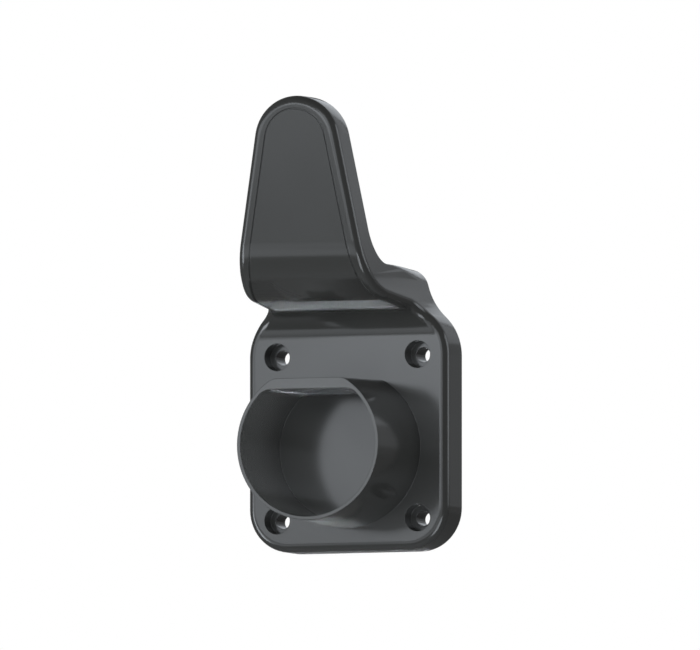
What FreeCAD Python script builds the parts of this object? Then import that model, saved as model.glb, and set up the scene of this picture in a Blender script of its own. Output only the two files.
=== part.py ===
import FreeCAD, Part
import math
import os

import Sketcher

# A wall holder for the connector of an electric car's charging cable, moulded in one piece: a plate
# with four screw holes, a flat-topped socket for the connector, and a strap that leaves the top of
# the plate, turns up and ends in a tall tongue, so that the cable hangs behind it.
# Millimetres. Origin: centre of the screw pattern on the wall. X right, -Y away from the wall, Z up.
# Depths are measured from the wall, and angles are in degrees.

SIZES = {
    # plate and front outline
    "plate_width": 94.6,
    "plate_depth": 17.6,
    "plate_drop": 50.0,
    "plate_corner": 19.0,
    "shoulder_drop": 38.6,
    "shoulder_round": 23.7,
    "neck_round": 28.5,
    "taper_angle": 10.3,
    "tongue_height": 147.45,
    "tongue_round": 20.1,
    "front_round": 3.6,
    # side outline of the strap and tongue
    "cove_round": 12.1,
    "strap_thickness": 19.85,
    "underside_rise": 6.3,
    "nose_reach": 73.3,
    "nose_round": 27.6,
    "tongue_lean": 5.0,
    "tongue_thickness": 15.5,
    "saddle_height": 74.4,
    "saddle_round": 16.0,
    "saddle_edge": 9.5,
    "back_edge": 0.5,
    # hollow back of the moulding
    "skin": 3.0,
    "strap_core_nose": 17.5,
    "strap_core_round": 5.5,
    "strap_core_edge": 4.5,
    "tongue_core_rise": 5.0,
    "tongue_core_round": 4.0,
    # ribs in the hollow
    "rib": 2.2,
    "rib_recess": 0.8,
    "upright_rib_pitch": 15.0,
    "tongue_rib_pitch": 15.0,
    "tongue_rib_first": 94.0,
    # line moulded round the tongue
    "groove_inset": 5.5,
    "groove_width": 0.7,
    "groove_sink": 0.5,
    "groove_end": 11.0,
    # screw holes
    "screw_pitch_across": 66.6,
    "screw_pitch_up": 72.0,
    "screw_bore": 6.6,
    "head_bore": 12.0,
    "head_sink": 7.0,
    "boss_wall": 2.5,
    # connector socket
    "socket_drop": 5.3,
    "socket_reach": 46.6,
    "bore_radius": 32.0,
    "bore_flat": 24.4,
    "bore_corner": 8.0,
    "rim_wall": 1.5,
    "rim_roof": 4.7,
    "root_flare": 1.2,
}

# How far a shape that cuts runs past what it cuts.
PAST = 4.0

doc = FreeCAD.newDocument("connector_holder")
sheet = doc.addObject("Spreadsheet::Sheet", "Dimensions")
for row, (alias, value) in enumerate(SIZES.items(), start=1):
    sheet.set(f"A{row}", alias)
    sheet.set(f"B{row}", str(value))
    sheet.setAlias(f"B{row}", alias)
doc.recompute()


def cell(alias):
    """The expression that reads one size from the sheet."""
    return f"Dimensions.{alias}"


def angle(alias):
    """The expression that reads an angle from the sheet."""
    return f"({cell(alias)} * 1 deg)"


def number(expression):
    """The value of an expression in sheet sizes."""
    value = sheet.evalExpression(expression)
    return float(getattr(value, "Value", value))


def bind(thing, **expressions):
    """Ties properties of an object to expressions; a double underscore stands for a dot."""
    for name, expression in expressions.items():
        thing.setExpression(name.replace("__", "."), expression)
    return thing


# Planes of the sketches: the front view lies in X and Z, the side view in Y and Z.
FRONT_VIEW = FreeCAD.Rotation(FreeCAD.Vector(1, 0, 0), 90)
SIDE_VIEW = FreeCAD.Rotation(FreeCAD.Vector(1, 1, 1), 120)
SKETCH_NORMAL = FreeCAD.Vector(0, 0, 1)


def new_sketch(name, view):
    """An empty sketch through the origin, facing the given way."""
    sketch = doc.addObject("Sketcher::SketchObject", name)
    sketch.Placement = FreeCAD.Placement(FreeCAD.Vector(), view)
    return sketch


def fix_distance(sketch, kind, geometry, point, expression):
    """Dimensions one point of a sketch from the origin in one direction."""
    value = number(expression)
    index = sketch.addConstraint(Sketcher.Constraint(kind, -1, 1, geometry, point, value))
    sketch.setExpression(f"Constraints[{index}]", expression)


def fix_point(sketch, geometry, point, across, up):
    """Dimensions one point of a sketch from the origin in both directions."""
    fix_distance(sketch, "DistanceX", geometry, point, across)
    fix_distance(sketch, "DistanceY", geometry, point, up)


def fix_slope(sketch, line, expression):
    """Dimensions the angle from the sketch's first axis to a straight line."""
    value = math.radians(number(expression))
    index = sketch.addConstraint(Sketcher.Constraint("Angle", line, value))
    sketch.setExpression(f"Constraints[{index}]", expression)


def add_line(sketch, start, stop):
    """A straight line between two points of the sketch."""
    return sketch.addGeometry(Part.LineSegment(start, stop), False)


def add_arc(sketch, centre, radius, angle_from, angle_to):
    """An arc, counterclockwise between two angles, with its radius dimensioned."""
    circle = Part.Circle(centre, SKETCH_NORMAL, number(radius))
    arc = sketch.addGeometry(Part.ArcOfCircle(circle, angle_from, angle_to), False)
    index = sketch.addConstraint(Sketcher.Constraint("Radius", arc, number(radius)))
    sketch.setExpression(f"Constraints[{index}]", radius)
    return arc


def rounded_outline(name, view, corners):
    """A closed sketch of straight sides whose corners are rounded.

    Each corner is (across, up, radius) as expressions, and stands where its two sides would meet.
    A radius of None leaves the corner sharp.
    """
    sketch = new_sketch(name, view)
    sharp = [FreeCAD.Vector(number(across), number(up), 0) for across, up, _ in corners]
    ends = []
    for index, (_, _, radius) in enumerate(corners):
        here = sharp[index]
        if radius is None:
            ends.append((here, here, None))
            continue
        before = (sharp[index - 1] - here).normalize()
        after = (sharp[(index + 1) % len(corners)] - here).normalize()
        half = before.getAngle(after) / 2
        reach = number(radius) / math.tan(half)
        centre = here + (before + after).normalize() * (number(radius) / math.sin(half))
        ends.append((here + before * reach, here + after * reach, centre))
    sides = []
    for index, (_, start, _) in enumerate(ends):
        sides.append(add_line(sketch, start, ends[(index + 1) % len(ends)][0]))
    for index, (across, up, radius) in enumerate(corners):
        side_in, side_out = sides[index - 1], sides[index]
        if radius is None:
            sketch.addConstraint(Sketcher.Constraint("Coincident", side_in, 2, side_out, 1))
            fix_point(sketch, side_out, 1, across, up)
            continue
        start, stop, centre = ends[index]
        leftward = (start - centre).cross(stop - centre).z > 0
        first, last = (start, stop) if leftward else (stop, start)
        angle_from = math.atan2(first.y - centre.y, first.x - centre.x)
        angle_to = math.atan2(last.y - centre.y, last.x - centre.x)
        arc = add_arc(sketch, centre, radius, angle_from, angle_to)
        in_end, out_end = (1, 2) if leftward else (2, 1)
        sketch.addConstraint(Sketcher.Constraint("Tangent", side_in, 2, arc, in_end))
        sketch.addConstraint(Sketcher.Constraint("Tangent", side_out, 1, arc, out_end))
        corner = sketch.addGeometry(Part.Point(sharp[index]), True)
        fix_point(sketch, corner, 1, across, up)
        sketch.addConstraint(Sketcher.Constraint("PointOnObject", corner, 1, side_in))
        sketch.addConstraint(Sketcher.Constraint("PointOnObject", corner, 1, side_out))
    return sketch


# Front outline.
TAPER = angle("taper_angle")
TOP_CENTRE = f"({cell('tongue_height')} - {cell('tongue_round')})"


def front_outline(name, inset):
    """The front view's outline, moved inward by an inset.

    Going up from the bottom, each side has a corner, a straight side, a round shoulder that runs
    straight into the hollow neck, and a straight taper that ends in the round top.
    """
    corner = f"({cell('plate_corner')} - {inset})"
    shoulder = f"({cell('shoulder_round')} - {inset})"
    neck = f"({cell('neck_round')} + {inset})"
    top = f"({cell('tongue_round')} - {inset})"
    half = f"({cell('plate_width')} / 2 - {inset})"
    low = f"({inset} - {cell('plate_drop')})"
    start = f"({cell('saddle_height')} - {cell('shoulder_drop')})"

    # Where the neck's centre lies: clear of the taper by its radius, and touching the shoulder.
    taper = math.radians(number(cell("taper_angle")))
    outward = FreeCAD.Vector(math.cos(taper), math.sin(taper), 0)
    upward = FreeCAD.Vector(-math.sin(taper), math.cos(taper), 0)
    top_centre = FreeCAD.Vector(0, number(TOP_CENTRE), 0)
    shoulder_centre = FreeCAD.Vector(number(f"{half} - {shoulder}"), number(start), 0)
    away = number(f"{top} + {neck}") - (shoulder_centre - top_centre).dot(outward)
    along = math.sqrt(number(f"{shoulder} + {neck}") ** 2 - away**2)
    neck_centre = shoulder_centre + outward * away + upward * along
    lean = neck_centre - shoulder_centre
    bend = math.atan2(lean.y, lean.x)
    corner_centre = FreeCAD.Vector(number(f"{half} - {corner}"), number(f"{low} + {corner}"), 0)
    foot = neck_centre - outward * number(neck)
    tip = top_centre + outward * number(top)
    side_low = FreeCAD.Vector(number(half), corner_centre.y, 0)
    side_high = FreeCAD.Vector(number(half), shoulder_centre.y, 0)
    base_end = FreeCAD.Vector(corner_centre.x, number(low), 0)

    def mirrored(point):
        return FreeCAD.Vector(-point.x, point.y, 0)

    sketch = new_sketch(name, FRONT_VIEW)
    pi = math.pi
    base = add_line(sketch, mirrored(base_end), base_end)
    head = add_arc(sketch, top_centre, top, taper, pi - taper)
    corners = (
        add_arc(sketch, corner_centre, corner, -pi / 2, 0),
        add_arc(sketch, mirrored(corner_centre), corner, pi, 1.5 * pi),
    )
    sides = (
        add_line(sketch, side_low, side_high),
        add_line(sketch, mirrored(side_high), mirrored(side_low)),
    )
    shoulders = (
        add_arc(sketch, shoulder_centre, shoulder, 0, bend),
        add_arc(sketch, mirrored(shoulder_centre), shoulder, pi - bend, pi),
    )
    necks = (
        add_arc(sketch, neck_centre, neck, pi + taper, pi + bend),
        add_arc(sketch, mirrored(neck_centre), neck, -bend, -taper),
    )
    tapers = (
        add_line(sketch, foot, tip),
        add_line(sketch, mirrored(tip), mirrored(foot)),
    )
    joints = [
        (base, 2, corners[0], 1),
        (corners[0], 2, sides[0], 1),
        (sides[0], 2, shoulders[0], 1),
        (shoulders[0], 2, necks[0], 2),
        (necks[0], 1, tapers[0], 1),
        (tapers[0], 2, head, 1),
        (head, 2, tapers[1], 1),
        (tapers[1], 2, necks[1], 2),
        (necks[1], 1, shoulders[1], 1),
        (shoulders[1], 2, sides[1], 1),
        (sides[1], 2, corners[1], 1),
        (corners[1], 2, base, 1),
    ]
    for joint in joints:
        sketch.addConstraint(Sketcher.Constraint("Tangent", *joint))
    sketch.addConstraint(Sketcher.Constraint("Horizontal", base))
    sketch.addConstraint(Sketcher.Constraint("PointOnObject", head, 3, -2))
    fix_distance(sketch, "DistanceY", base, 1, low)
    fix_distance(sketch, "DistanceY", head, 3, TOP_CENTRE)
    for side, shoulder_arc, taper_line, sign in zip(sides, shoulders, tapers, ("", "-")):
        sketch.addConstraint(Sketcher.Constraint("Vertical", side))
        fix_distance(sketch, "DistanceX", side, 1, f"{sign}{half}")
        fix_distance(sketch, "DistanceY", shoulder_arc, 3, start)
        fix_slope(sketch, taper_line, f"{sign}(90 deg + {TAPER})")
    return sketch


# Side outline. The underside and the tongue's front would meet at the nose.
LEAN = angle("tongue_lean")
RISE = angle("underside_rise")
PLATE_FACE = cell("plate_depth")
CREASE_UP = f"({cell('saddle_height')} - {cell('strap_thickness')})"
NOSE_UP = f"({CREASE_UP} + tan({RISE}) * ({cell('nose_reach')} - {PLATE_FACE}))"
ABOVE_TONGUE = f"({cell('tongue_height')} + {PAST})"


def underside(depth, inset):
    """Height of the strap's underside at a depth, moved up into the wall by an inset."""
    rise = f"tan({RISE}) * ({depth} - {PLATE_FACE})"
    return f"({CREASE_UP} + {rise} + {inset} / cos({RISE}))"


def tongue_face(up, inset):
    """Depth of the tongue's front at a height, moved back into the wall by an inset."""
    return f"({cell('nose_reach')} + tan({LEAN}) * ({up} - {NOSE_UP}) - {inset} / cos({LEAN}))"


def nose(inset):
    """Depth and height of the nose, moved into the wall by an inset."""
    share = f"({inset} / cos({LEAN} + {RISE}))"
    depth = f"({cell('nose_reach')} - {share} * (cos({RISE}) - sin({LEAN})))"
    up = f"({NOSE_UP} + {share} * (cos({LEAN}) - sin({RISE})))"
    return depth, up


def band_outline():
    """The side view of plate, strap and tongue, run past the front outline at top and bottom."""
    low = f"-({cell('plate_drop')} + {PAST})"
    saddle = cell("saddle_height")
    thick = f"({cell('tongue_thickness')} * cos({LEAN}))"
    nose_depth, nose_up = nose("0")
    corners = [
        ("0", low, None),
        ("0", saddle, None),
        (f"-{tongue_face(saddle, thick)}", saddle, cell("saddle_round")),
        (f"-{tongue_face(ABOVE_TONGUE, thick)}", ABOVE_TONGUE, None),
        (f"-{tongue_face(ABOVE_TONGUE, '0')}", ABOVE_TONGUE, None),
        (f"-{nose_depth}", nose_up, cell("nose_round")),
        (f"-{PLATE_FACE}", underside(PLATE_FACE, "0"), cell("cove_round")),
        (f"-{PLATE_FACE}", low, None),
    ]
    return rounded_outline("band_outline", SIDE_VIEW, corners)


def strap_core_outline():
    """The hollow behind the plate and inside the strap, open towards the wall."""
    skin = cell("skin")
    low = f"-({cell('plate_drop')} + {PAST})"
    high = f"({cell('saddle_height')} - {skin})"
    front = f"({PLATE_FACE} - {skin})"
    end = f"({cell('nose_reach')} - {cell('strap_core_nose')})"
    cove = f"{cell('cove_round')} + {skin}"
    corners = [
        (f"{PAST}", low, None),
        (f"{PAST}", high, None),
        (f"-{end}", high, None),
        (f"-{end}", underside(end, skin), cell("strap_core_round")),
        (f"-{front}", underside(front, skin), cove),
        (f"-{front}", low, None),
    ]
    return rounded_outline("strap_core_outline", SIDE_VIEW, corners)


def tongue_core_outline():
    """The hollow in the back of the tongue, which starts above the saddle."""
    skin = cell("skin")
    low = f"({cell('saddle_height')} + {cell('tongue_core_rise')})"
    open_air = f"({cell('tongue_thickness')} + {cell('saddle_round')})"
    corners = [
        (f"-{tongue_face(low, skin)}", low, cell("tongue_core_round")),
        (f"-{tongue_face(low, open_air)}", low, None),
        (f"-{tongue_face(ABOVE_TONGUE, open_air)}", ABOVE_TONGUE, None),
        (f"-{tongue_face(ABOVE_TONGUE, skin)}", ABOVE_TONGUE, None),
    ]
    return rounded_outline("tongue_core_outline", SIDE_VIEW, corners)


def groove_layer_outline():
    """The layer that the groove cuts out of underside, nose and tongue, and the air before it."""
    sink = cell("groove_sink")
    air = f"(0 - {PAST})"
    end = f"({PLATE_FACE} + {cell('groove_end')})"
    deep_nose, deep_nose_up = nose(sink)
    air_nose, air_nose_up = nose(air)
    corners = [
        (f"-{end}", underside(end, air), None),
        (f"-{end}", underside(end, sink), None),
        (f"-{deep_nose}", deep_nose_up, f"{cell('nose_round')} - {sink}"),
        (f"-{tongue_face(ABOVE_TONGUE, sink)}", ABOVE_TONGUE, None),
        (f"-{tongue_face(ABOVE_TONGUE, air)}", ABOVE_TONGUE, None),
        (f"-{air_nose}", air_nose_up, None),
    ]
    return rounded_outline("groove_layer_outline", SIDE_VIEW, corners)


def socket_section(name, depth, wall):
    """The bore's section, grown by a wall: a circle cut flat at the top, with rounded corners.

    The wall is a thickness beside the bore, a thickness over its flat top, and what is added to
    the radius of its corners.
    """
    sketch = new_sketch(name, FRONT_VIEW)
    bind(sketch, Placement__Base__y=f"-({depth})", Placement__Base__z=f"-{cell('socket_drop')}")
    radius = f"({cell('bore_radius')} + {wall[0]})"
    flat = f"({cell('bore_flat')} + {wall[1]})"
    corner = f"({cell('bore_corner')} + {wall[2]})"
    top = number(flat)
    rise = number(f"{flat} - {corner}")
    side = math.sqrt(number(f"{radius} - {corner}") ** 2 - rise**2)
    lift = math.atan2(rise, side)
    pi = math.pi
    belly = add_arc(sketch, FreeCAD.Vector(), radius, pi - lift, 2 * pi + lift)
    right = add_arc(sketch, FreeCAD.Vector(side, rise, 0), corner, lift, pi / 2)
    left = add_arc(sketch, FreeCAD.Vector(-side, rise, 0), corner, pi / 2, pi - lift)
    roof = add_line(sketch, FreeCAD.Vector(side, top, 0), FreeCAD.Vector(-side, top, 0))
    for joint in ((belly, 2, right, 1), (right, 2, roof, 1), (roof, 2, left, 1), (left, 2, belly, 1)):
        sketch.addConstraint(Sketcher.Constraint("Tangent", *joint))
    sketch.addConstraint(Sketcher.Constraint("Coincident", belly, 3, -1, 1))
    sketch.addConstraint(Sketcher.Constraint("Horizontal", roof))
    fix_distance(sketch, "DistanceY", roof, 1, flat)
    return sketch


def extrusion(name, sketch, direction, forward, backward="0"):
    """A solid drawn out of a sketch along a direction, and against it by the second length."""
    solid = doc.addObject("Part::Extrusion", name)
    solid.Base = sketch
    solid.DirMode = "Custom"
    solid.Dir = FreeCAD.Vector(*direction)
    solid.Solid = True
    return bind(solid, LengthFwd=forward, LengthRev=backward)


def across_width(name, sketch):
    """A side-view sketch drawn out past both sides of the plate."""
    half = f"{cell('plate_width')} / 2 + {PAST}"
    return extrusion(name, sketch, (1, 0, 0), half, half)


def through_depth(name, sketch):
    """A front-view sketch drawn out past the wall and past the tongue's tip."""
    tip = f"{tongue_face(ABOVE_TONGUE, '0')} + {PAST}"
    return extrusion(name, sketch, (0, -1, 0), tip, f"{PAST}")


def combined(kind, name, base, tool):
    """One solid less another, or what they share."""
    solid = doc.addObject(f"Part::{kind}", name)
    solid.Base = base
    solid.Tool = tool
    return solid


def fused(name, shapes):
    """Several solids joined, with no seams left between flush faces."""
    solid = doc.addObject("Part::MultiFuse", name)
    solid.Shapes = shapes
    solid.Refine = True
    return solid


def loft(name, sections):
    """A solid through two sections of one form."""
    solid = doc.addObject("Part::Loft", name)
    solid.Sections = sections
    solid.Solid = True
    solid.Ruled = True
    return solid


def box(name, low, size):
    """A box from its lowest corner and its three lengths, all as expressions."""
    solid = doc.addObject("Part::Box", name)
    bind(solid, Length=size[0], Width=size[1], Height=size[2])
    return bind(solid, Placement__Base__x=low[0], Placement__Base__y=low[1], Placement__Base__z=low[2])


def pin(name, across, up, radius, start, length):
    """A cylinder that points away from the wall and starts at a depth."""
    solid = doc.addObject("Part::Cylinder", name)
    solid.Placement = FreeCAD.Placement(FreeCAD.Vector(), FRONT_VIEW)
    bind(solid, Radius=radius, Height=length)
    return bind(
        solid, Placement__Base__x=across, Placement__Base__y=f"-({start})", Placement__Base__z=up
    )


# Faces of the blank are told apart by where they look.
FLAT = 1e-3


def is_side(normal):
    """True on the walls drawn out of the front outline."""
    return abs(normal.y) < FLAT and normal.z < 1 - FLAT


def is_saddle(normal):
    """True on the level top of the strap."""
    return abs(normal.y) < FLAT and normal.z > 1 - FLAT


def looks_forward(normal):
    """True on plate face, cove, underside, nose and tongue front."""
    return normal.y < -FLAT


def looks_back(normal):
    """True on the bend above the saddle and on the tongue's back."""
    return FLAT < normal.y < 1 - FLAT


def middle(edge):
    """The point halfway along an edge's parameter."""
    return edge.valueAt((edge.FirstParameter + edge.LastParameter) / 2)


def edges_between(shape, one, other):
    """Numbers and edges where a face of one kind meets a face of another kind."""
    found = []
    for index, edge in enumerate(shape.Edges, start=1):
        normals = []
        for side in shape.Faces:
            if any(edge.isSame(bound) for bound in side.Edges):
                normals.append(side.normalAt(*side.Surface.parameter(middle(edge))))
        if len(normals) != 2:
            continue
        first, second = normals
        if (one(first) and other(second)) or (one(second) and other(first)):
            found.append((index, edge))
    return found


def fillet(name, base, edges):
    """A solid with some edges rounded; each edge has a radius at its start and at its end."""
    solid = doc.addObject("Part::Fillet", name)
    solid.Base = base
    solid.Edges = edges
    doc.recompute()
    return solid


def rounded_blank():
    """The outside of plate, strap and tongue, solid, with its edges rounded.

    The front edge is round all the way. The strap's top edges are rounder the nearer they are to
    the wall, and run out into the small round on the back edges of the tongue.
    """
    band = across_width("band", band_outline())
    outline = through_depth("outline", front_outline("face_outline", "0"))
    blank = combined("Common", "blank", band, outline)
    doc.recompute()
    shape = blank.Shape
    front = number(cell("front_round"))
    back = number(cell("back_edge"))
    saddle = number(cell("saddle_edge"))
    edges = [(index, front, front) for index, _ in edges_between(shape, is_side, looks_forward)]
    edges += [(index, back, back) for index, _ in edges_between(shape, is_side, looks_back)]
    for index, edge in edges_between(shape, is_side, is_saddle):
        start = edge.Vertexes[0].Point
        stop = edge.Vertexes[-1].Point
        from_wall = start.y > stop.y
        edges.append((index, back, saddle) if from_wall else (index, saddle, back))
    return fillet("rounded_blank", blank, edges)


def screw_places():
    """The four screws, as a name and the expressions of their places."""
    for row, up_sign in (("low", "-"), ("high", "")):
        for side, across_sign in (("left", "-"), ("right", "")):
            across = f"{across_sign}{cell('screw_pitch_across')} / 2"
            yield f"{row}_{side}", across, f"{up_sign}{cell('screw_pitch_up')} / 2"


def bosses():
    """A round boss behind the plate for each screw."""
    radius = f"{cell('head_bore')} / 2 + {cell('boss_wall')}"
    return [pin(f"boss_{name}", *place, radius, "0", PLATE_FACE) for name, *place in screw_places()]


RIB = cell("rib")
RIB_BACK = f"-({cell('nose_reach')})"
RIB_RUN = f"{cell('nose_reach')} - {cell('rib_recess')}"


def standing_rib(name, across):
    """An upright rib from the plate's bottom to the strap's top, from front to back."""
    low = f"-{cell('plate_drop')}"
    start = (f"{across} - {RIB} / 2", RIB_BACK, low)
    return box(name, start, (RIB, RIB_RUN, f"{cell('saddle_height')} - {low}"))


def level_rib(name, up):
    """A rib across the plate at one height."""
    start = (f"-{cell('plate_width')} / 2", f"-{PLATE_FACE}", f"{up} - {RIB} / 2")
    run = f"{PLATE_FACE} - {cell('rib_recess')}"
    return box(name, start, (cell("plate_width"), run, RIB))


def plate_ribs():
    """Ribs through the screw bosses and the middle, upright and level, up into the strap."""
    across = f"{cell('screw_pitch_across')} / 2"
    pitch = cell("upright_rib_pitch")
    places = [f"-{across}", f"-{pitch}", "0", pitch, across]
    ribs = [standing_rib(f"rib_upright_{count}", place) for count, place in enumerate(places, 1)]
    for step in (-1, 0, 1):
        ribs.append(level_rib(f"rib_level_{step + 2}", f"{step} * {cell('screw_pitch_up')} / 2"))
    return ribs


def tongue_ribs():
    """One upright rib behind the tongue, and level ones at an even pitch."""
    first = cell("tongue_rib_first")
    pitch = cell("tongue_rib_pitch")
    depth = f"{tongue_face(ABOVE_TONGUE, '0')}"
    low = cell("saddle_height")
    upright = (f"-{RIB} / 2", f"-{depth}", low)
    ribs = [box("rib_tongue_upright", upright, (RIB, depth, f"{ABOVE_TONGUE} - {low}"))]
    wide = f"2 * {cell('tongue_round')} + 2 * {PAST}"
    room = number(f"{cell('tongue_height')} - {cell('skin')} - {RIB} - {first}")
    for step in range(int(room / number(pitch)) + 1):
        start = (f"-({wide}) / 2", f"-{depth}", f"{first} + {step} * {pitch} - {RIB} / 2")
        ribs.append(box(f"rib_tongue_{step + 1}", start, (wide, depth, RIB)))
    return ribs


def socket_tube():
    """The tube on the plate, solid, which flares evenly to its root, sunk in the plate."""
    beside = cell("rim_wall")
    over = cell("rim_roof")
    flare = cell("root_flare")
    rim = socket_section("rim_section", f"({PLATE_FACE} + {cell('socket_reach')})", (beside, over, "0"))
    root = socket_section(
        "root_section",
        f"({PLATE_FACE} - {cell('skin')} / 2)",
        (f"{beside} + {flare}", f"{over} + {flare}", flare),
    )
    return loft("tube", [root, rim])


def socket_bore():
    """The room inside the socket, whose floor is the plate's face."""
    section = socket_section("bore_section", PLATE_FACE, ("0", "0", "0"))
    return extrusion("bore", section, (0, -1, 0), f"{cell('socket_reach')} + {PAST}")


def screw_bores():
    """A through hole and a wider one for the head at each screw."""
    bores = []
    for name, *place in screw_places():
        shank = f"{cell('screw_bore')} / 2"
        head = f"{cell('head_bore')} / 2"
        seat = f"{PLATE_FACE} - {cell('head_sink')}"
        bores.append(pin(f"shank_{name}", *place, shank, f"-{PAST}", f"{PLATE_FACE} + {PAST}"))
        bores.append(pin(f"head_{name}", *place, head, seat, f"{cell('head_sink')} + {PAST}"))
    return bores


def groove():
    """The line that follows the outline on the tongue, nose and underside."""
    near = cell("groove_inset")
    far = f"({near} + {cell('groove_width')})"
    ring = combined(
        "Cut",
        "groove_ring",
        through_depth("groove_outer", front_outline("groove_outer_outline", near)),
        through_depth("groove_inner", front_outline("groove_inner_outline", far)),
    )
    layer = across_width("groove_layer", groove_layer_outline())
    return combined("Common", "groove", ring, layer)


def moulding():
    """The finished holder."""
    outside = rounded_blank()
    inner = through_depth("inner", front_outline("inner_outline", cell("skin")))
    strap_core = combined(
        "Common", "strap_core", across_width("strap_core_slab", strap_core_outline()), inner
    )
    tongue_core = combined(
        "Common", "tongue_core", across_width("tongue_core_slab", tongue_core_outline()), inner
    )
    doc.recompute()
    core_round = number(cell("strap_core_edge"))
    top_edges = edges_between(strap_core.Shape, is_side, is_saddle)
    strap_core = fillet(
        "strap_core_rounded", strap_core, [(index, core_round, core_round) for index, _ in top_edges]
    )
    plate_fill = fused("plate_fill", bosses() + plate_ribs())
    strap_hollow = combined("Cut", "strap_hollow", strap_core, plate_fill)
    tongue_hollow = combined("Cut", "tongue_hollow", tongue_core, fused("tongue_fill", tongue_ribs()))
    shell = combined(
        "Cut", "shell", outside, fused("hollows", [strap_hollow, tongue_hollow])
    )
    body = fused("body", [shell, socket_tube()])
    cuts = fused("cuts", [socket_bore(), groove()] + screw_bores())
    holder = combined("Cut", "holder", body, cuts)
    holder.Label = "holder"
    return holder


def check(holder):
    """Stops if any object failed, or the holder isn't one valid solid."""
    for thing in doc.Objects:
        for fault in ("Invalid", "Error"):
            if fault in thing.State:
                raise RuntimeError(f"{thing.Name} is {thing.State}")
        shape = getattr(thing, "Shape", None)
        if shape is not None and (shape.isNull() or not shape.isValid()):
            raise RuntimeError(f"{thing.Name} has no valid shape")
    if len(holder.Shape.Solids) != 1:
        raise RuntimeError(f"the holder has {len(holder.Shape.Solids)} solids")


holder = moulding()
doc.recompute()
check(holder)
os.makedirs("parts", exist_ok=True)
holder.Shape.exportStep(f"parts/{holder.Label}.step")
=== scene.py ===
import math

import bpy
from mathutils import Matrix, Vector

bl_info = {
    "name": "Connector Holder",
    "version": (1, 0, 0),
    "blender": (4, 5, 0),
    "location": "3D View > Sidebar > Holder",
    "description": "Finishes a moulded wall holder for a charging connector and lights it in a studio",
    "category": "Object",
}

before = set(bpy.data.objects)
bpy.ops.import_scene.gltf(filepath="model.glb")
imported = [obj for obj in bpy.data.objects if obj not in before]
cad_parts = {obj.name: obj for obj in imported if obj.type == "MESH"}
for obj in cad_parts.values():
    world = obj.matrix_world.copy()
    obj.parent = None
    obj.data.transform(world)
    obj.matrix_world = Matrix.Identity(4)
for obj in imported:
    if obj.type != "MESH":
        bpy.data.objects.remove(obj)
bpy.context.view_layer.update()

MM = 0.001
MERGE_DISTANCE = 0.002 * MM  # closes the CAD mesh's loose triangles

# The camera of the photograph: a parallel view, and how the image lies round the screw pattern.
IMAGE_WIDTH_PX = 700
MM_PER_PX = 0.44
VIEW_AZIMUTH = math.radians(22.03)
VIEW_ELEVATION = math.radians(-3.3)
ORIGIN_RIGHT_PX = 12.25
ORIGIN_BELOW_PX = 114.54
CAMERA_DISTANCE = 1.5

# The plastic. A polished mould leaves a grain about 0.1 mm wide. It is drawn a pixel wide, so that
# it shows in the render.
POLYCARBONATE_IOR = 1.585
GRAIN_WIDTH = 0.5 * MM
GRAIN_HEIGHT = 0.02 * MM
GRAIN_STRENGTH = 0.06
FLOW_WIDTH = 30.0 * MM  # of the patches where the melt left the surface a little rougher
FLOW_RANGE = (0.3, 0.7)  # the values that the noise of these patches mostly takes
FLOW_ROUGHNESS = 0.01
NOISE_DETAIL = 2.0
EDGE_SAMPLES = 6

WHITE = (1.0, 1.0, 1.0, 1.0)
FLOOR_WIDTH = 40.0
FLOOR_GLOW = 0.85  # the share of its plain colour in what the camera sees of the floor


def linear(colour):
    """An sRGB hex colour as linear red, green, blue and full alpha."""
    channels = [int(colour[i : i + 2], 16) / 255 for i in (1, 3, 5)]
    return [c / 12.92 if c <= 0.04045 else ((c + 0.055) / 1.055) ** 2.4 for c in channels] + [1.0]


def opaque(colour):
    """A linear colour property's value for a shader socket, with full alpha."""
    return (*colour[:3], 1.0)


def add_node(tree, kind, links=(), **settings):
    """Adds a node, sets its properties and its sockets, and links other nodes' outputs to it.

    A setting whose name starts with in_ is the default of an input socket, by the socket's name
    with its spaces as underscores. Each link is (output socket, name or number of the input).
    """
    node = tree.nodes.new(kind)
    for name, value in settings.items():
        if name.startswith("in_"):
            node.inputs[name[3:].replace("_", " ")].default_value = value
        else:
            setattr(node, name, value)
    for output, target in links:
        tree.links.new(output, node.inputs[target])
    return node


class HolderPlasticSettings(bpy.types.PropertyGroup):
    """The moulded plastic of the holder."""

    colour: bpy.props.FloatVectorProperty(
        name="Colour",
        description="Colour of the plastic through its whole depth",
        subtype="COLOR",
        size=3,
        min=0.0,
        max=1.0,
        default=linear("#3f3f3d")[:3],
    )
    roughness: bpy.props.FloatProperty(
        name="Roughness",
        description="Roughness of the polished mould's surface",
        default=0.16,
        min=0.0,
        max=1.0,
    )
    edge_round: bpy.props.FloatProperty(
        name="Edge round",
        description="Radius of the small round that is shaded onto sharp edges",
        default=0.35 * MM,
        min=0.0,
        unit="LENGTH",
    )
    grain: bpy.props.FloatProperty(
        name="Grain",
        description="Width of one grain of the mould's texture",
        default=GRAIN_WIDTH,
        min=0.01 * MM,
        unit="LENGTH",
    )


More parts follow.
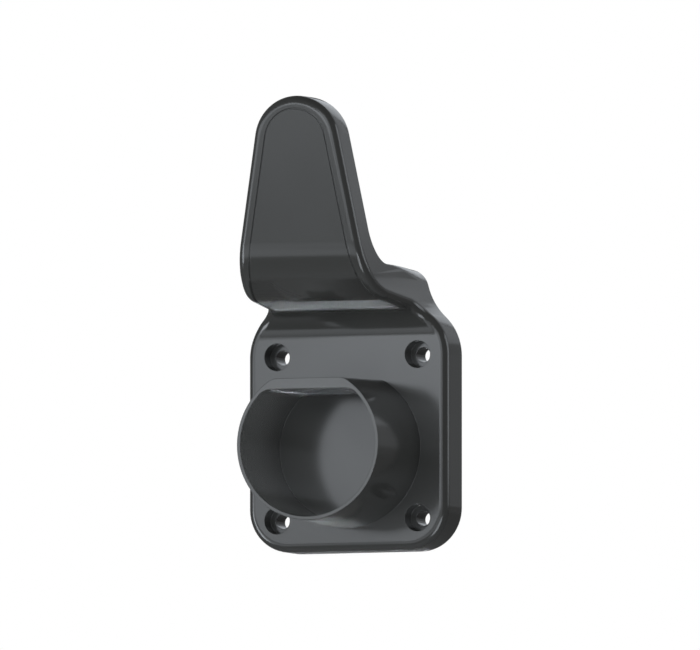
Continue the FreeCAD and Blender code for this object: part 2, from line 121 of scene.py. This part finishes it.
class StudioSettings(bpy.types.PropertyGroup):
    """Floor, backdrop light and soft boxes."""

    floor_drop: bpy.props.FloatProperty(
        name="Floor drop",
        description="Height of the screw pattern's centre above the floor",
        default=1.6,
        min=0.1,
        unit="LENGTH",
    )
    floor_colour: bpy.props.FloatVectorProperty(
        name="Floor colour",
        description="Colour of the floor",
        subtype="COLOR",
        size=3,
        min=0.0,
        max=1.0,
        default=linear("#dcdcdc")[:3],
    )
    box_colour: bpy.props.FloatVectorProperty(
        name="Soft box colour",
        description="Colour of the soft boxes' light",
        subtype="COLOR",
        size=3,
        min=0.0,
        max=1.0,
        default=linear("#f2f8ff")[:3],
    )
    room_light: bpy.props.FloatProperty(
        name="Room light",
        description="Strength of the even light from all sides",
        default=0.12,
        min=0.0,
    )


def moulded_plastic(settings):
    """Black polycarbonate from a polished steel mould, with a very fine satin grain.

    The eye sees a near-black body colour under a clear, slightly soft reflection.
    """
    material = bpy.data.materials.new("black_polycarbonate_polished_moulding")
    material.use_nodes = True
    tree = material.node_tree
    tree.nodes.clear()
    place = add_node(tree, "ShaderNodeTexCoord")
    grain = add_node(
        tree,
        "ShaderNodeTexNoise",
        links=[(place.outputs["Object"], "Vector")],
        in_Scale=1.0 / settings.grain,
        in_Detail=NOISE_DETAIL,
    )
    flow = add_node(
        tree,
        "ShaderNodeTexNoise",
        links=[(place.outputs["Object"], "Vector")],
        in_Scale=1.0 / FLOW_WIDTH,
        in_Detail=NOISE_DETAIL,
    )
    edges = add_node(tree, "ShaderNodeBevel", samples=EDGE_SAMPLES, in_Radius=settings.edge_round)
    bump = add_node(
        tree,
        "ShaderNodeBump",
        links=[(grain.outputs["Fac"], "Height"), (edges.outputs["Normal"], "Normal")],
        in_Strength=GRAIN_STRENGTH,
        in_Distance=GRAIN_HEIGHT,
    )
    rough = add_node(
        tree,
        "ShaderNodeMapRange",
        links=[(flow.outputs["Fac"], "Value")],
        in_From_Min=FLOW_RANGE[0],
        in_From_Max=FLOW_RANGE[1],
        in_To_Min=settings.roughness - FLOW_ROUGHNESS,
        in_To_Max=settings.roughness + FLOW_ROUGHNESS,
    )
    shader = add_node(
        tree,
        "ShaderNodeBsdfPrincipled",
        links=[(bump.outputs["Normal"], "Normal"), (rough.outputs["Result"], "Roughness")],
        in_Base_Color=opaque(settings.colour),
        in_IOR=POLYCARBONATE_IOR,
    )
    add_node(tree, "ShaderNodeOutputMaterial", links=[(shader.outputs["BSDF"], "Surface")])
    return material


class OBJECT_OT_finish_holder(bpy.types.Operator):
    """Give the moulded holder its plastic, with small rounds shaded onto its edges"""

    bl_idname = "holder.finish_moulding"
    bl_label = "Holder"

    def execute(self, context):
        settings = context.scene.holder_plastic
        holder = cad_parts["holder"]
        holder.data.materials.clear()
        holder.data.materials.append(moulded_plastic(settings))
        weld = holder.modifiers.new("merge_facets", "WELD")
        weld.merge_threshold = MERGE_DISTANCE
        return {"FINISHED"}


class OBJECT_OT_build_studio(bpy.types.Operator):
    """Place the camera, the floor, the room's light and the soft boxes"""

    bl_idname = "holder.build_studio"
    bl_label = "Studio"

    def execute(self, context):
        settings = context.scene.holder_studio
        place_camera(context.scene)
        lay_floor(settings)
        light_room(context.scene, settings)
        for soft_box in SOFT_BOXES:
            hang_soft_box(settings, *soft_box)
        rim = hang_soft_box(settings, *UNDER_STRAP_BOX)
        rim.visible_diffuse = False
        rim.data.use_shadow = False
        rim.data.cycles.use_multiple_importance_sampling = False
        add_lamp(settings, "socket_fill", *SOCKET_FILL).visible_glossy = False
        return {"FINISHED"}


# Soft boxes on a sphere round the holder, as its name, its left and right edges (azimuth, 0 in
# front of the holder and 90 to its right), its lower and upper edges (elevation), all in degrees,
# and its brightness as a multiple of white.
SOFT_BOXES = [
    ("key", -25, 0, -1, 15, 2.85),
    ("key_right_low", 0, 25, -1, 15, 1.5),
    ("key_right_high", 0, 25, 15, 30, 1.9),
    ("left", -65, -25, -1, 15, 1.7),
    ("left_low", -65, -45, -30, -1, 5.0),
    ("low_front", -45, 25, -9, -1, 0.37),
    ("under_front", -45, 25, -17, -9, 0.82),
    ("lower_front", -45, 25, -30, -17, 0.95),
    ("low_right", 25, 50, -50, -17, 3.3),
    ("back_right", 100, 130, -1, 30, 1.75),
    ("back", 130, 170, 12, 45, 0.44),
    ("back_high", 170, 200, 12, 50, 0.9),
    ("back_level", 130, 190, -1, 12, 0.13),
]
# A soft box low behind the holder. Its light passes through the plate and is seen in mirrored
# light only, as the bright band along the underside of the strap.
UNDER_STRAP_BOX = ("under_strap", 196, 210, -20, -8, 0.36)
# A small fill lamp in the socket's mouth that lights the wall at its left and bottom. It is seen in
# no mirrored light: its place, the way its back points, its two sides in metres, its brightness.
SOCKET_FILL = (Vector((0.012, -0.055, 0.010)), Vector((0.6, 0.3, 0.74)), 0.036, 0.026, 5.8)
SOFT_BOX_DISTANCE = 1.5
HOLDER_CENTRE = Vector((0.0, -0.03, 0.05))


def outward(azimuth, elevation):
    """The unit vector away from the holder, turned right by azimuth and raised by elevation."""
    level = math.cos(elevation)
    return Vector((math.sin(azimuth) * level, -math.cos(azimuth) * level, math.sin(elevation)))


def hang_soft_box(settings, name, left, right, low, high, strength):
    """A rectangular lamp that faces the holder; its face is strength times as bright as white."""
    elevation = math.radians((low + high) / 2)
    back = outward(math.radians((left + right) / 2), elevation)
    place = HOLDER_CENTRE + back * SOFT_BOX_DISTANCE
    across = 2 * SOFT_BOX_DISTANCE * math.tan(math.radians((right - left) / 2))
    tall = 2 * SOFT_BOX_DISTANCE * math.tan(math.radians((high - low) / 2))
    return add_lamp(settings, name, place, back, across * math.cos(elevation), tall, strength)


def add_lamp(settings, name, place, back, across, tall, strength):
    """A rectangular lamp of across by tall metres at place, whose back points along back.

    A face that is strength times as bright as white gives pi times that for each square metre.
    """
    lamp = bpy.data.lights.new(name, "AREA")
    lamp.shape = "RECTANGLE"
    lamp.color = settings.box_colour
    lamp.size, lamp.size_y = across, tall
    lamp.energy = strength * math.pi * across * tall
    box = bpy.data.objects.new(name, lamp)
    box.location = place
    box.rotation_euler = back.to_track_quat("Z", "Y").to_euler()
    box.visible_camera = False
    bpy.context.scene.collection.objects.link(box)
    return box


def place_camera(scene):
    """A parallel camera from the photograph's direction, framed round the screw pattern."""
    right = Vector((math.cos(VIEW_AZIMUTH), math.sin(VIEW_AZIMUTH), 0.0))
    back = outward(VIEW_AZIMUTH, VIEW_ELEVATION)
    up = back.cross(right)
    target = (up * ORIGIN_BELOW_PX - right * ORIGIN_RIGHT_PX) * MM_PER_PX * MM
    data = bpy.data.cameras.new("camera")
    data.type = "ORTHO"
    data.ortho_scale = IMAGE_WIDTH_PX * MM_PER_PX * MM
    camera = bpy.data.objects.new("camera", data)
    turn = Matrix((right, up, back)).transposed().to_4x4()
    camera.matrix_world = Matrix.Translation(target + back * CAMERA_DISTANCE) @ turn
    scene.collection.objects.link(camera)
    scene.camera = camera


def lay_floor(settings):
    """A plain pale floor far enough below the holder to stay out of the photograph's view."""
    half = FLOOR_WIDTH / 2
    low = -settings.floor_drop
    mesh = bpy.data.meshes.new("floor")
    corners = [(-half, -half, low), (half, -half, low), (half, half, low), (-half, half, low)]
    mesh.from_pydata(corners, [], [(0, 1, 2, 3)])
    floor = bpy.data.objects.new("floor", mesh)
    bpy.context.scene.collection.objects.link(floor)
    mesh.materials.append(pale_paper(settings))


def pale_paper(settings):
    """Matt paper. It glows for the camera alone, near its own colour, since little light reaches it."""
    material = bpy.data.materials.new("pale_paper_floor")
    material.use_nodes = True
    tree = material.node_tree
    tree.nodes.clear()
    path = add_node(tree, "ShaderNodeLightPath")
    share = add_node(
        tree,
        "ShaderNodeMapRange",
        links=[(path.outputs["Is Camera Ray"], "Value")],
        in_To_Max=FLOOR_GLOW,
    )
    matt = add_node(tree, "ShaderNodeBsdfDiffuse", in_Color=opaque(settings.floor_colour))
    glow = add_node(tree, "ShaderNodeEmission", in_Color=opaque(settings.floor_colour))
    mixed = add_node(
        tree,
        "ShaderNodeMixShader",
        links=[
            (share.outputs["Result"], "Fac"),
            (matt.outputs["BSDF"], 1),
            (glow.outputs["Emission"], 2),
        ],
    )
    add_node(tree, "ShaderNodeOutputMaterial", links=[(mixed.outputs["Shader"], "Surface")])
    return material


def light_room(scene, settings):
    """A room that is white to the camera and gives the holder a soft, dim light from all sides."""
    world = bpy.data.worlds.new("studio_room")
    scene.world = world
    world.use_nodes = True
    tree = world.node_tree
    tree.nodes.clear()
    path = add_node(tree, "ShaderNodeLightPath")
    light = add_node(tree, "ShaderNodeBackground", in_Color=WHITE, in_Strength=settings.room_light)
    white = add_node(tree, "ShaderNodeBackground", in_Color=WHITE, in_Strength=1.0)
    seen = add_node(
        tree,
        "ShaderNodeMixShader",
        links=[
            (path.outputs["Is Camera Ray"], "Fac"),
            (light.outputs["Background"], 1),
            (white.outputs["Background"], 2),
        ],
    )
    add_node(tree, "ShaderNodeOutputWorld", links=[(seen.outputs["Shader"], "Surface")])
    scene.view_settings.view_transform = "Standard"


class VIEW3D_PT_connector_holder(bpy.types.Panel):
    """Lists the holder's operators and their settings"""

    bl_label = "Connector Holder"
    bl_space_type = "VIEW_3D"
    bl_region_type = "UI"
    bl_category = "Holder"

    def draw(self, context):
        for name, operator in (
            ("holder_plastic", OBJECT_OT_finish_holder),
            ("holder_studio", OBJECT_OT_build_studio),
        ):
            settings = getattr(context.scene, name)
            column = self.layout.column()
            for prop in settings.__annotations__:
                column.prop(settings, prop)
            column.operator(operator.bl_idname)


CLASSES = (
    HolderPlasticSettings,
    StudioSettings,
    OBJECT_OT_finish_holder,
    OBJECT_OT_build_studio,
    VIEW3D_PT_connector_holder,
)


def register():
    for cls in CLASSES:
        bpy.utils.register_class(cls)
    bpy.types.Scene.holder_plastic = bpy.props.PointerProperty(type=HolderPlasticSettings)
    bpy.types.Scene.holder_studio = bpy.props.PointerProperty(type=StudioSettings)


def unregister():
    del bpy.types.Scene.holder_studio
    del bpy.types.Scene.holder_plastic
    for cls in reversed(CLASSES):
        bpy.utils.unregister_class(cls)


def main():
    register()
    bpy.ops.holder.build_studio()
    bpy.ops.holder.finish_moulding()


if __name__ == "__main__":
    main()
